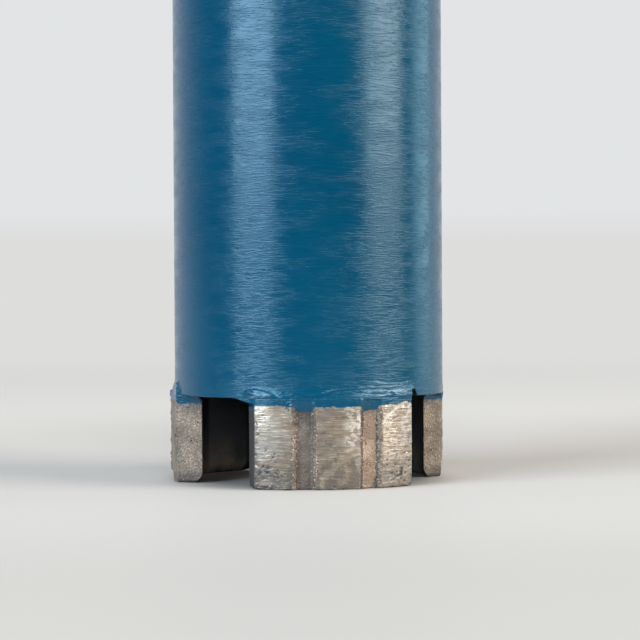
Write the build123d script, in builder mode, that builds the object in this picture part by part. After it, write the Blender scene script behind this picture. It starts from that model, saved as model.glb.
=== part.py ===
"""Diamond core bit: a thin steel barrel with three sintered segments welded to its lower rim
and a threaded drive hub welded into its upper end.

Millimetres. The bit turns about Z. The origin is on that axis, in the cutting plane, so the bit
stands on its segments with the barrel upright. The first segment is centred on -Y.
"""

import os
from math import cos, degrees, radians, sin, tan

from build123d import *

# --- Driving dimensions ---------------------------------------------------------------------

# Segments, the cutting pieces
CUT_DIAMETER = 40.0  # over the segments: the hole that the bit drills
SEGMENT_COUNT = 3
SEGMENT_LENGTH = 24.0  # along the outer arc
SEGMENT_THICKNESS = 3.2  # radial: the width of the kerf
SEGMENT_HEIGHT = 12.7
CORNER_CHAMFER = 0.5  # lower corners at the two ends of a segment
CORE_SIDE_ROUNDING = 1.5  # lower edge that faces the core
HOLE_SIDE_TAPER = 0.4  # how far the outer face falls back at the cutting edge
HOLE_SIDE_TAPER_HEIGHT = 4.0  # where that fall starts, above the cutting edge
ROOT_CHAMFER_HEIGHT = 0.8  # upper inner edge, broken back to the barrel's bore

# Flutes pressed into a segment: two in its outer face, one between them in its inner face
FLUTE_SPACING = 27.8  # angle between the two outer flutes
FLUTE_FLOOR = 2.1
FLUTE_DEPTH = 0.8
FLUTE_FLANK = 40.0  # angle between a flank and the radius
INNER_FLUTE_FLOOR = 3.5
INNER_FLUTE_DEPTH = 0.8

# Barrel
BARREL_SET_IN = 0.35  # the segments' outer faces stand this far outside the barrel
BARREL_WALL = 2.4
DRILLING_DEPTH = 150.0  # cutting plane to the underside of the hub's spigot

# Weld seam over each segment's outer shoulder and up the barrel
SEAM_HEIGHT = 1.8
SEAM_CROWN = 0.15  # how far the seam bulges past the straight line between its edges
SEAM_FOOT_LAND = 0.05  # shoulder left bare outside the seam
SEAM_END_MARGIN = 1.5  # angle between the seam's end and the segment's end

# Drive hub
SPIGOT_LENGTH = 8.0  # inside the barrel
SPIGOT_CLEARANCE = 0.05  # between spigot and barrel, on the radius
SHOULDER_HEIGHT = 5.0
NECK_DIAMETER = 31.0
NECK_HEIGHT = 20.0
NECK_ROOT_CONE = 1.5  # 45 degree cone where the neck meets the shoulder
HUB_CHAMFER = 1.0
SPANNER_SIZE = 27.0  # across the two flats
FLAT_HEIGHT = 14.0  # from the hub's top face down

# Weld between barrel and hub, laid in a groove that both leave
WELD_GROOVE = 1.0
WELD_PROUD = 0.25  # the dressed band stands this far outside the barrel
WELD_BAND = 1.0  # width of the band along the axis

# Drive thread G 1/2, internal: the modelled bore has the thread's minor diameter
THREAD_MINOR_DIAMETER = 18.631
THREAD_MAJOR_DIAMETER = 20.955
THREAD_LENGTH = 20.0  # from the hub's top face
THREAD_LEAD_IN = 0.25  # countersink at the mouth, past the major diameter on the radius
UNDERCUT_DIAMETER = 21.5
UNDERCUT_LENGTH = 3.0
WATERWAY_DIAMETER = 15.0
WATERWAY_CHAMFER = 1.5

# --- Sizes that follow ----------------------------------------------------------------------

outer_radius = CUT_DIAMETER / 2
inner_radius = outer_radius - SEGMENT_THICKNESS
segment_half_angle = degrees(SEGMENT_LENGTH / outer_radius / 2)
segment_half_width = outer_radius * sin(radians(segment_half_angle))

barrel_radius = outer_radius - BARREL_SET_IN
bore_radius = barrel_radius - BARREL_WALL
barrel_foot = SEGMENT_HEIGHT
barrel_top = DRILLING_DEPTH + SPIGOT_LENGTH

spigot_radius = bore_radius - SPIGOT_CLEARANCE
shoulder_top = barrel_top + SHOULDER_HEIGHT
hub_top = shoulder_top + NECK_HEIGHT
neck_radius = NECK_DIAMETER / 2

thread_radius = THREAD_MINOR_DIAMETER / 2
thread_bottom = hub_top - THREAD_LENGTH
mouth_radius = THREAD_MAJOR_DIAMETER / 2 + THREAD_LEAD_IN
undercut_radius = UNDERCUT_DIAMETER / 2
undercut_bottom = thread_bottom - UNDERCUT_LENGTH
waterway_radius = WATERWAY_DIAMETER / 2


def radial_plane(angle):
    """The half-plane section at an angle about Z: local X points outwards and local Y is +Z."""
    turn = radians(angle)
    return Plane(origin=(0, 0, 0), x_dir=(cos(turn), sin(turn), 0), z_dir=(sin(turn), -cos(turn), 0))


def plan_plane(angle, height):
    """A level plane whose local X points outwards at an angle about Z."""
    turn = radians(angle)
    return Plane(origin=(0, 0, height), x_dir=(cos(turn), sin(turn), 0), z_dir=(0, 0, 1))


def outward_plane(angle):
    """An upright plane through Z that faces outwards at an angle: local Y is +Z."""
    turn = radians(angle)
    return Plane(origin=(0, 0, 0), x_dir=(-sin(turn), cos(turn), 0), z_dir=(cos(turn), sin(turn), 0))


def save(builder, name):
    """Label a finished piece and write it as its own node."""
    builder.part.label = name
    export_step(builder.part, f"parts/{name}.step")


os.makedirs("parts", exist_ok=True)

# --- Barrel: a plain tube, its upper outer edge bevelled for the hub weld ---------------------

with BuildPart() as barrel_tube:
    with BuildSketch(Plane.XY.offset(barrel_foot)):
        Circle(barrel_radius)
        Circle(bore_radius, mode=Mode.SUBTRACT)
    extrude(amount=barrel_top - barrel_foot)
    upper_rim = barrel_tube.edges().filter_by(GeomType.CIRCLE).group_by(Axis.Z)[-1]
    chamfer(upper_rim.sort_by(SortBy.RADIUS)[-1], WELD_GROOVE)

save(barrel_tube, "barrel_tube")

# --- Drive hub: turned spigot, shoulder and neck, threaded through, with two spanner flats -----

with BuildPart() as drive_hub:
    with BuildSketch(radial_plane(0)):
        with BuildLine():
            Polyline(
                (waterway_radius, DRILLING_DEPTH),
                (spigot_radius, DRILLING_DEPTH),
                (spigot_radius, barrel_top),
                (barrel_radius, barrel_top),
                (barrel_radius, shoulder_top),
                (neck_radius, shoulder_top),
                (neck_radius, hub_top),
                (thread_radius, hub_top),
                (thread_radius, thread_bottom),
                (undercut_radius, thread_bottom),
                (undercut_radius, undercut_bottom),
                (waterway_radius, undercut_bottom),
                close=True,
            )
        make_face()
    revolve(axis=Axis.Z)

    # The shoulder's lower edge is the other half of the weld groove.
    rims = drive_hub.edges().filter_by(GeomType.CIRCLE)
    shoulder_rims = rims.filter_by(lambda rim: abs(rim.radius - barrel_radius) < 0.01)
    chamfer(shoulder_rims.sort_by(Axis.Z)[0], WELD_GROOVE)
    chamfer(shoulder_rims.sort_by(Axis.Z)[-1], HUB_CHAMFER)
    neck_rims = drive_hub.edges().filter_by(GeomType.CIRCLE).filter_by(
        lambda rim: abs(rim.radius - neck_radius) < 0.01)
    chamfer(neck_rims.sort_by(Axis.Z)[0], NECK_ROOT_CONE)
    chamfer(neck_rims.sort_by(Axis.Z)[-1], HUB_CHAMFER)

    # Lead-in at the thread's mouth, and a flared foot to the waterway.
    mouth = drive_hub.edges().filter_by(GeomType.CIRCLE).filter_by(
        lambda rim: abs(rim.radius - thread_radius) < 0.01).sort_by(Axis.Z)[-1]
    chamfer(mouth, mouth_radius - thread_radius)
    foot = drive_hub.edges().filter_by(GeomType.CIRCLE).filter_by(
        lambda rim: abs(rim.radius - waterway_radius) < 0.01).sort_by(Axis.Z)[0]
    chamfer(foot, WATERWAY_CHAMFER)

    # Two flats for the spanner, cut down from the top face.
    with BuildSketch(Plane.XY.offset(hub_top)):
        Circle(barrel_radius)
        Rectangle(SPANNER_SIZE, 2 * barrel_radius, mode=Mode.SUBTRACT)
    extrude(amount=-FLAT_HEIGHT, mode=Mode.SUBTRACT)

save(drive_hub, "drive_hub")

# --- Hub weld: fills the groove between barrel and shoulder, dressed to a low flat band --------

with BuildPart() as hub_weld:
    with BuildSketch(radial_plane(0)):
        with BuildLine():
            Polyline(
                (barrel_radius - WELD_GROOVE, barrel_top),
                (barrel_radius, barrel_top - WELD_GROOVE),
                (barrel_radius + WELD_PROUD, barrel_top - WELD_BAND / 2),
                (barrel_radius + WELD_PROUD, barrel_top + WELD_BAND / 2),
                (barrel_radius, barrel_top + WELD_GROOVE),
                close=True,
            )
        make_face()
    revolve(axis=Axis.Z)

save(hub_weld, "hub_weld")

# --- Segments and the seams that hold them ----------------------------------------------------


def make_segment(middle):
    """One segment, centred on an angle about Z.

    A turned ring section is kept between two ends parallel to the segment's middle plane. The
    flutes then run its whole height.
    """
    with BuildPart() as segment:
        with BuildSketch(radial_plane(middle)):
            with BuildLine():
                core_side = CenterArc(
                    (inner_radius + CORE_SIDE_ROUNDING, CORE_SIDE_ROUNDING),
                    CORE_SIDE_ROUNDING, 180, 90)
                Polyline(
                    core_side @ 1,
                    (outer_radius - HOLE_SIDE_TAPER, 0),
                    (outer_radius, HOLE_SIDE_TAPER_HEIGHT),
                    (outer_radius, SEGMENT_HEIGHT),
                    (bore_radius, SEGMENT_HEIGHT),
                    (inner_radius, SEGMENT_HEIGHT - ROOT_CHAMFER_HEIGHT),
                    core_side @ 0,
                )
            make_face()
        revolve(axis=Axis.Z)

        with BuildSketch(outward_plane(middle)) as outline:
            Rectangle(2 * segment_half_width, SEGMENT_HEIGHT, align=(Align.CENTER, Align.MIN))
            chamfer(outline.vertices().group_by(Axis.Y)[0], CORNER_CHAMFER)
        extrude(amount=CUT_DIAMETER, mode=Mode.INTERSECT)

        with BuildSketch(plan_plane(middle, 0)):
            mouth_reach = FLUTE_DEPTH + BARREL_SET_IN
            mouth_width = FLUTE_FLOOR + 2 * mouth_reach * tan(radians(FLUTE_FLANK))
            with PolarLocations(outer_radius - FLUTE_DEPTH, 2, start_angle=-FLUTE_SPACING / 2,
                                angular_range=FLUTE_SPACING, endpoint=True):
                Trapezoid(mouth_width, mouth_reach, 90 - FLUTE_FLANK, rotation=90,
                          align=(Align.CENTER, Align.MAX))
            inner_reach = 2 * INNER_FLUTE_DEPTH
            inner_width = INNER_FLUTE_FLOOR + 2 * inner_reach * tan(radians(FLUTE_FLANK))
            with Locations((inner_radius + INNER_FLUTE_DEPTH, 0)):
                Trapezoid(inner_width, inner_reach, 90 - FLUTE_FLANK, rotation=-90,
                          align=(Align.CENTER, Align.MAX))
        extrude(amount=SEGMENT_HEIGHT, mode=Mode.SUBTRACT)
    return segment


def make_seam(middle):
    """One weld seam: a narrow fillet from a segment's outer shoulder up to the barrel's skin."""
    start = middle - segment_half_angle + SEAM_END_MARGIN
    with BuildPart() as seam:
        with BuildSketch(radial_plane(start)):
            with BuildLine():
                face = Line(
                    (outer_radius - SEAM_FOOT_LAND, barrel_foot),
                    (barrel_radius, barrel_foot + SEAM_HEIGHT),
                    mode=Mode.PRIVATE,
                )
                crown = ThreePointArc(
                    face @ 0, face @ 0.5 + Vector(SEAM_CROWN, 0), face @ 1)
                Polyline(crown @ 1, (barrel_radius, barrel_foot), crown @ 0)
            make_face()
        revolve(axis=Axis.Z, revolution_arc=2 * (segment_half_angle - SEAM_END_MARGIN))
    return seam


for number in range(SEGMENT_COUNT):
    middle_angle = -90 + number * 360 / SEGMENT_COUNT
    save(make_segment(middle_angle), f"segment_{number + 1}")
    save(make_seam(middle_angle), f"weld_seam_{number + 1}")
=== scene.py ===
import math
from types import SimpleNamespace

import bpy
import numpy as np
from mathutils import Matrix, Vector


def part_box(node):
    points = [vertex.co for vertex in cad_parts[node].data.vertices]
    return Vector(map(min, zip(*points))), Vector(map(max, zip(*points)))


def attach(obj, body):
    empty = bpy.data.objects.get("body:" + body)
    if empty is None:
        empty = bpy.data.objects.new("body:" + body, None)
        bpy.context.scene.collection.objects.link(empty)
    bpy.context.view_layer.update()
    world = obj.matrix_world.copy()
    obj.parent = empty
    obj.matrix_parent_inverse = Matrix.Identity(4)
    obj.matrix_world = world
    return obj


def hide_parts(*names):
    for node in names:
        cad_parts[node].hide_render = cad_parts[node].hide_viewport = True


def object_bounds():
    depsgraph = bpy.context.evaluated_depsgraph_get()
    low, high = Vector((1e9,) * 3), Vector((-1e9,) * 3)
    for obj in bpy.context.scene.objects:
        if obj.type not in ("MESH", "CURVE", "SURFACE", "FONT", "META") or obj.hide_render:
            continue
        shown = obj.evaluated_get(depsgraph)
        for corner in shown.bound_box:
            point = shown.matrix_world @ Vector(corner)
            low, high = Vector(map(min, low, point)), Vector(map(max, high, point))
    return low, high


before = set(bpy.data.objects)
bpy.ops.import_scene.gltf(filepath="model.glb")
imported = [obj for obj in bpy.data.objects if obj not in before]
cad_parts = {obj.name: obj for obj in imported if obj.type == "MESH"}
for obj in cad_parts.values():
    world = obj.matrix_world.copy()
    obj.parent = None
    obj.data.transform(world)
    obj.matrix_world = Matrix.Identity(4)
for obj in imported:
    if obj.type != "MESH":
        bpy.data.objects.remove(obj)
cad_low, cad_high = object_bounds()

# Looks of the diamond core bit. The shapes are worked out in millimetres, in the frame of the
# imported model, and become metres when a mesh is made. Angles on the welds are in degrees.

MM = 0.001
TURN = 2 * math.pi

# --- Sizes taken from the frame ---

segment_low, segment_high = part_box("segment_1")
_, barrel_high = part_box("barrel_tube")
hub_low, hub_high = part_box("drive_hub")

CUT_RADIUS = -segment_low[1] / MM
SEGMENT_TOP = segment_high[2] / MM
HALF_WIDTH = segment_high[0] / MM
INNER_RADIUS = math.hypot(HALF_WIDTH, segment_high[1] / MM)
BARREL_RADIUS = barrel_high[0] / MM
BARREL_TOP = barrel_high[2] / MM
HUB_FOOT = hub_low[2] / MM
HUB_TOP = hub_high[2] / MM
HALF_ANGLE = math.asin(HALF_WIDTH / CUT_RADIUS)
HALF_DEGREES = math.degrees(HALF_ANGLE)

# --- Sizes of the forms that the solids hold ---

BORE_RADIUS = BARREL_RADIUS - 2.4
CORNER_ROUNDING = 0.55  # lower corners of a segment, seen from outside
CORE_SIDE_ROUNDING = 1.5  # lower edge that faces the core
TAPER = 0.4  # the outer face falls back by this at the cutting edge
TAPER_HEIGHT = 4.0
CORE_BREAK = 0.4  # the upper edge that faces the core is broken back by this
CORE_BREAK_HEIGHT = 0.8
FLUTE_ANGLE = math.radians(13.9)
FLUTE_DEPTH = 0.8
FLUTE_HALF_FLOOR = 1.05
INNER_FLUTE_HALF_FLOOR = 1.75
FLANK = math.tan(math.radians(40))

NECK_RADIUS = 15.5
SHOULDER_TOP = BARREL_TOP + 5.0
FLAT_HALF_SIZE = 13.5
FLAT_FOOT = HUB_TOP - 14.0
NECK_BLEND = 1.5  # where the shoulder runs into the neck
CHAMFER = 1.0  # the hub's outer edges
WELD_BEVEL = 1.0  # the edges that the hub's weld fills
SPIGOT_GAP = 0.05
WATERWAY_RADIUS = 7.5
WATERWAY_FLARE = 1.5
THREAD_MINOR = 9.3155
THREAD_MAJOR = 10.4775
THREAD_PITCH = 1.814
THREAD_BOTTOM = HUB_TOP - 20.0
UNDERCUT_RADIUS = 10.75
UNDERCUT_HEIGHT = 3.0
MOUTH_RADIUS = 10.7275

SEGMENT_ANGLES = [math.radians(-90 + 120 * number) for number in range(3)]

# --- Fineness of the meshes ---

AROUND = 900  # the barrel
HUB_AROUND = 360
WELD_BAND_AROUND = 720
WELD_BAND_ROWS = 17
FLOOR_AROUND = 96
ARC_POINTS = 220  # along a segment's outer face, and along its inner face
END_POINTS = 28  # across an end, corners included
RIM_ROUNDING = 0.28  # a segment's lower rim
TOP_ROUNDING = 0.1  # and its upper rim
ROW_SPACING = 0.105


# --- Noise, worked out on whole arrays of points ---


def scatter(x, y, z, seed):
    """A repeatable random number from 0 to 1 for each whole-number point: its three
    coordinates are multiplied by large primes, combined bit by bit, and mixed twice."""
    h = (x.astype(np.int64) * 73856093) ^ (y.astype(np.int64) * 19349663)
    h = h ^ (z.astype(np.int64) * 83492791) ^ np.int64(seed * 40503 + 977)
    h = ((h ^ (h >> 15)) * np.int64(668265263)) & np.int64(0x7FFFFFFFFFFF)
    h = ((h ^ (h >> 13)) * np.int64(374761393)) & np.int64(0x7FFFFFFFFFFF)
    return ((h ^ (h >> 16)) & 0xFFFFFF) / float(0xFFFFFF)


def smooth(t):
    """0 below 0, 1 above 1, and between them t squared times three minus twice t."""
    t = np.clip(t, 0.0, 1.0)
    return t * t * (3.0 - 2.0 * t)


def step(value, start, end):
    """Rises smoothly from 0 to 1 while value goes from start to end."""
    return smooth((value - start) / (end - start))


def window(value, start, full, fade, end):
    """Rises from 0 to 1 while value goes from start to full, and falls again from fade to end:
    the product of the two steps."""
    return step(value, start, full) * step(value, end, fade)


def noise(points, size, seed=0):
    """Smooth noise from -1 to 1: random values at the corners of boxes of the given size,
    blended across each box by smoothstep weights. size is one number or one for each axis."""
    q = points / np.asarray(size, float)
    cell = np.floor(q)
    w = smooth(q - cell)
    total = np.zeros(points.shape[:-1])
    for corner in np.ndindex(2, 2, 2):
        share = np.abs(1 - np.array(corner) - w)
        weight = share[..., 0] * share[..., 1] * share[..., 2]
        at = cell + corner
        total += weight * scatter(at[..., 0], at[..., 1], at[..., 2], seed)
    return 2.0 * total - 1.0


def rough(points, size, seed=0, octaves=3):
    """Noise summed over octaves, each half the size and a little over half the strength."""
    total, strength = np.zeros(points.shape[:-1]), 1.0
    for octave in range(octaves):
        total += strength * noise(points, np.asarray(size, float) / 2 ** octave, seed + octave)
        strength *= 0.55
    return total / 1.6


def grains(points, size, seed=0):
    """Packed round grains: each box of the given size holds one centre at a random place, and
    the height is 1 at a centre and falls with the square of the distance to the nearest."""
    q = points / size
    cell = np.floor(q)
    nearest = np.full(points.shape[:-1], 9.0)
    for neighbour in np.ndindex(3, 3, 3):
        at = cell + neighbour - 1
        centre = np.stack([at[..., k] + scatter(at[..., 0], at[..., 1], at[..., 2], seed + k)
                           for k in range(3)], axis=-1)
        nearest = np.minimum(nearest, ((q - centre) ** 2).sum(axis=-1))
    return np.clip(1.0 - 1.6 * nearest, -0.4, 1.0)


# --- Meshes ---


def cylinder_points(radius, angle, height):
    """Points at a radius, an angle about Z and a height: the radius times the angle's cosine
    and sine, and the height."""
    axes = (radius * np.cos(angle), radius * np.sin(angle), height)
    return np.stack(np.broadcast_arrays(*axes), axis=-1)


def full_turn(columns):
    """Angles evenly spaced round Z, as one row."""
    return np.linspace(0, TURN, columns, endpoint=False)[None, :]


def grid_faces(rows, columns, wrap_rows=False):
    """Corner numbers of the quads of a grid whose points are stored row by row. Each row closes
    on itself, and with wrap_rows the last row meets the first."""
    i = np.arange(rows if wrap_rows else rows - 1)[:, None]
    j = np.arange(columns)[None, :]
    ni, nj = (i + 1) % rows, (j + 1) % columns
    corners = [i * columns + j, i * columns + nj, ni * columns + nj, ni * columns + j]
    return np.stack(np.broadcast_arrays(*corners), axis=-1).reshape(-1, 4)


def point_normals(points, faces):
    """Unit normals at the points: the sum of the cross products of the diagonals of each
    point's quads, which weighs each quad by its area."""
    a, b, c, d = (points[faces[:, k]] for k in range(4))
    normal = np.cross(c - a, d - b)
    total = np.zeros_like(points)
    for axis in range(3):
        for k in range(4):
            total[:, axis] += np.bincount(faces[:, k], normal[:, axis], len(points))
    return total / np.maximum(np.linalg.norm(total, axis=1, keepdims=True), 1e-12)


def add_object(name, data):
    """An object made of the given data, in the scene."""
    made = bpy.data.objects.new(name, data)
    bpy.context.scene.collection.objects.link(made)
    return made


def make_piece(name, points, faces, materials, masks=None, face_material=None,
               inset=0.0):
    """A smooth piece from points in millimetres and faces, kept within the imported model's box less
    an inset, riding on the one body. masks are numbers for each point, read by name."""
    mesh = bpy.data.meshes.new(name)
    room = np.array([inset, inset, 0.0]) * MM
    points = points.reshape(-1, 3) * MM
    points = np.clip(points, np.array(cad_low) + room, np.array(cad_high) - room)
    mesh.from_pydata(points.tolist(), [], faces.tolist())
    mesh.shade_smooth()
    for mask, values in (masks or {}).items():
        layer = mesh.attributes.new(mask, "FLOAT", "POINT")
        layer.data.foreach_set("value", np.ascontiguousarray(values, np.float32))
    for material in materials:
        mesh.materials.append(material)
    if face_material is not None:
        mesh.polygons.foreach_set("material_index", np.ascontiguousarray(face_material, np.int32))
    mesh.update()
    piece = add_object(name, mesh)
    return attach(piece, "root")


def make_skin(name, radius, angle, height, materials, masks, face_material=None):
    """A closed skin round Z from rows of radii and heights, with a column for each angle. Its last
    row meets the first."""
    rows, columns = radius.shape
    masks = {mask: np.broadcast_to(values, radius.shape).reshape(-1)
             for mask, values in masks.items()}
    faces = grid_faces(rows, columns, wrap_rows=True)
    return make_piece(name, cylinder_points(radius, angle, height), faces, materials,
                      masks, face_material)


# --- Shader nodes ---


def add_node(tree, kind, inputs=None, **settings):
    """A shader node with its settings, its inputs set to values or joined to sockets."""
    made = tree.nodes.new("ShaderNode" + kind)
    for key, value in settings.items():
        setattr(made, key, value)
    for key, value in (inputs or {}).items():
        if isinstance(value, bpy.types.NodeSocket):
            tree.links.new(value, made.inputs[key])
        else:
            made.inputs[key].default_value = value
    return made


def maths(tree, operation, a, b):
    """The result of one sum on two values or sockets."""
    return add_node(tree, "Math", {0: a, 1: b}, operation=operation).outputs[0]


def times(tree, a, b):
    """The product of two values or sockets."""
    return maths(tree, "MULTIPLY", a, b)


def ramp(tree, value, start, end, low=0.0, high=1.0):
    """Goes smoothly from low to high while value goes from start to end."""
    inputs = {"Value": value, "From Min": start, "From Max": end, "To Min": low, "To Max": high}
    return add_node(tree, "MapRange", inputs, interpolation_type="SMOOTHSTEP").outputs["Result"]


def blend(tree, factor, a, b):
    """Two colours mixed by a factor."""
    return add_node(tree, "Mix", {0: factor, 6: a, 7: b}, data_type="RGBA").outputs[2]


def blend_value(tree, factor, a, b):
    """Two numbers mixed by a factor."""
    return add_node(tree, "Mix", {0: factor, 2: a, 3: b}, data_type="FLOAT").outputs[0]


def layered(tree, colour, *layers):
    """A colour with others laid over it one after the other, each with its own factor."""
    for factor, over in layers:
        colour = blend(tree, factor, colour, over)
    return colour


def cloud(tree, place, scale, detail, **inputs):
    """Cloudy noise from 0 to 1, with so many waves to the metre."""
    inputs = {"Vector": place, "Scale": scale, "Detail": detail, **inputs}
    return add_node(tree, "TexNoise", inputs).outputs["Fac"]


def part_of(tree, vector, axis):
    """One coordinate of a vector."""
    return add_node(tree, "SeparateXYZ", {0: vector}).outputs[axis]


def vector_sum(tree, operation, *vectors):
    """The node of one sum on vectors."""
    return add_node(tree, "VectorMath", dict(enumerate(vectors)), operation=operation)


def mix_shaders(tree, factor, a, b):
    """Two shaders mixed by a factor."""
    return add_node(tree, "MixShader", {0: factor, 1: a, 2: b}).outputs[0]


def mask_of(tree, name):
    """A number stored on the mesh's points."""
    return add_node(tree, "Attribute", attribute_name=name).outputs["Fac"]


def rgb(red, green, blue):
    """An opaque colour from linear values."""
    return (red, green, blue, 1.0)


def new_group(name, inputs, outputs):
    """An empty node group with a Position and number inputs, and number outputs. Returns it,
    what it is given and where its results go."""
    group = bpy.data.node_groups.new(name, "ShaderNodeTree")
    group.interface.new_socket("Position", in_out="INPUT", socket_type="NodeSocketVector")
    for key, value in inputs.items():
        socket = group.interface.new_socket(key, in_out="INPUT", socket_type="NodeSocketFloat")
        socket.default_value = value
    for key in outputs:
        group.interface.new_socket(key, in_out="OUTPUT", socket_type="NodeSocketFloat")
    given, result = group.nodes.new("NodeGroupInput"), group.nodes.new("NodeGroupOutput")
    return group, given.outputs, result.inputs


def use_group(tree, group, **inputs):
    """The outputs of a group placed in a tree with its own inputs."""
    made = tree.nodes.new("ShaderNodeGroup")
    made.node_tree = group
    for key, value in inputs.items():
        if isinstance(value, bpy.types.NodeSocket):
            tree.links.new(value, made.inputs[key])
        else:
            made.inputs[key].default_value = value
    return made.outputs


def new_material(name):
    """A material's tree, where its shader goes, and its place on the object."""
    material = bpy.data.materials.new(name)
    material.use_nodes = True
    tree = material.node_tree
    tree.nodes.clear()
    surface = add_node(tree, "OutputMaterial").inputs["Surface"]
    return material, tree, surface, add_node(tree, "TexCoord").outputs["Object"]


def dress(tree, surface, inputs, height=None, strength=1.0, depth=0.0001):
    """Joins a principled shader with the given inputs to a material's surface. A height roughens
    it: depth is in metres, for a height that changes by 1."""
    if height is not None:
        bump = add_node(tree, "Bump", {"Height": height, "Strength": strength, "Distance": depth})
        inputs = {**inputs, "Normal": bump.outputs["Normal"]}
    shader = add_node(tree, "BsdfPrincipled", inputs)
    tree.links.new(shader.outputs[0], surface)


# --- Effects that materials share ---

MM_PER_METRE = 1000.0


def lathe_marks_group():
    """Fine marks that run round the axis: noise squeezed along Z, so that each mark is many
    times longer than it is wide. Width and Length are in millimetres."""
    group, given, result = new_group("lathe_marks", {"Width": 0.3, "Length": 5.0},
                                     ["Height", "Patches"])
    across = maths(group, "DIVIDE", MM_PER_METRE, given["Length"])
    along = maths(group, "DIVIDE", MM_PER_METRE, given["Width"])
    scale = add_node(group, "CombineXYZ", {"X": across, "Y": across, "Z": along}).outputs[0]
    stretched = vector_sum(group, "MULTIPLY", given["Position"], scale).outputs[0]
    wide = vector_sum(group, "MULTIPLY", stretched, (0.35, 0.35, 0.12)).outputs[0]
    marks = cloud(group, stretched, 1.0, 3.0, Roughness=0.6, Distortion=0.1)
    group.links.new(marks, result["Height"])
    group.links.new(cloud(group, wide, 1.0, 2.0), result["Patches"])
    return group


def sintered_grain_group():
    """Sintered grain: round cells of one size broken by finer noise, sparse dark pores, broad
    mottling, and a few facets that carry painted glints. Size is the grain's in millimetres."""
    group, given, result = new_group("sintered_grain", {"Size": 0.35},
                                     ["Height", "Pores", "Mottle", "Glint"])
    place = given["Position"]
    scale = maths(group, "DIVIDE", MM_PER_METRE, given["Size"])
    cells = add_node(group, "TexVoronoi", {"Vector": place, "Scale": scale, "Smoothness": 0.4},
                     feature="SMOOTH_F1")
    dome = maths(group, "SUBTRACT", 1.0, cells.outputs["Distance"])
    fine = cloud(group, place, times(group, scale, 2.2), 2.0)
    group.links.new(maths(group, "ADD", dome, times(group, fine, 0.6)), result["Height"])
    pits = cloud(group, place, times(group, scale, 0.45), 3.0, Roughness=0.7)
    group.links.new(ramp(group, pits, 0.66, 0.72), result["Pores"])
    facets = add_node(group, "TexVoronoi", {"Vector": place, "Scale": times(group, scale, 1.15)})
    lucky = add_node(group, "SeparateColor", {0: facets.outputs["Color"]}).outputs[0]
    centre = ramp(group, facets.outputs["Distance"], 0.45, 0.2)
    group.links.new(times(group, ramp(group, lucky, 0.86, 0.9), centre), result["Glint"])
    group.links.new(cloud(group, place, times(group, scale, 0.12), 4.0), result["Mottle"])
    return group


LATHE_MARKS = lathe_marks_group()
SINTERED_GRAIN = sintered_grain_group()

# --- Paint and steel ---

PAINT = rgb(0.0, 0.0475, 0.099)
PAINT_LIGHT = rgb(0.0, 0.0515, 0.104)
PAINT_WORN = rgb(0.003, 0.07, 0.132)
PAINT_DEEP = rgb(0.0, 0.032, 0.07)
PAINT_FADE = (0.038, 0.014)  # heights in metres between which it fades
PAINT_SHEEN = rgb(0.62, 0.86, 1.0)
# Pale strokes on the paint: part scuffs, part painted highlights
SCUFF_AND_HIGHLIGHT = rgb(0.16, 0.27, 0.37)
TURNED_DARK, TURNED_LIGHT = rgb(0.34, 0.34, 0.34), rgb(0.52, 0.51, 0.5)
MILL_DARK, MILL_LIGHT = rgb(0.05, 0.052, 0.056), rgb(0.13, 0.13, 0.13)
RUST = rgb(0.075, 0.05, 0.036)
# Near black painted in the notch: painted shade
NOTCH_SHADE = rgb(0.006, 0.007, 0.009)


def paint_surface(tree, place):
    """The satin paint's colour, roughness and height: short raised strokes round the barrel,
    stronger in some patches, and a slight orange peel. It fades a little near the cutting end."""
    marks = use_group(tree, LATHE_MARKS, Position=place, Width=0.22, Length=1.9)
    colour = layered(
        tree, PAINT,
        (ramp(tree, cloud(tree, place, 60.0, 3.0), 0.35, 0.7), PAINT_LIGHT),
        (ramp(tree, marks["Height"], 0.54, 0.76, 0.0, 0.6), PAINT_WORN),
        (ramp(tree, marks["Height"], 0.46, 0.3, 0.0, 0.45), PAINT_DEEP),
        (ramp(tree, part_of(tree, place, "Z"), *PAINT_FADE, 0.0, 0.32), PAINT_WORN))
    roughness = ramp(tree, marks["Patches"], 0.3, 0.7, 0.17, 0.3)
    strokes = ramp(tree, marks["Height"], 0.47, 0.64)
    strength = ramp(tree, marks["Patches"], 0.38, 0.62, 0.024, 0.05)
    peel = times(tree, cloud(tree, place, 1800.0, 1.0), 0.02)
    return colour, roughness, maths(tree, "ADD", times(tree, strokes, strength), peel)


def barrel_paint_material():
    """Satin teal paint. Short pale strokes, part scuffs and part painted highlights, cross it where
    their mask is 1, and turned steel shows where the bare mask is 1."""
    material, tree, surface, place = new_material("barrel_paint")
    colour, roughness, height = paint_surface(tree, place)
    strokes = use_group(tree, LATHE_MARKS, Position=place, Width=0.22, Length=1.5)
    # Pale strokes over the paint: scuffs and painted highlights on the lip and welds
    scuff_and_highlight_strokes = times(tree, mask_of(tree, "scuff_and_highlight"), ramp(tree, strokes["Height"], 0.5, 0.66))
    turned = use_group(tree, LATHE_MARKS, Position=place, Width=0.12, Length=8.0)
    steel = blend(tree, turned["Patches"], TURNED_DARK, TURNED_LIGHT)
    bare = mask_of(tree, "bare")
    dress(tree, surface, {
        "Base Color": layered(tree, colour, (scuff_and_highlight_strokes, SCUFF_AND_HIGHLIGHT), (bare, steel)),
        "Roughness": blend_value(tree, bare, roughness, 0.32),
        "Metallic": bare,
        "Specular IOR Level": 0.55,
        "Specular Tint": PAINT_SHEEN,
    }, height, depth=0.00034)
    return material


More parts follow.
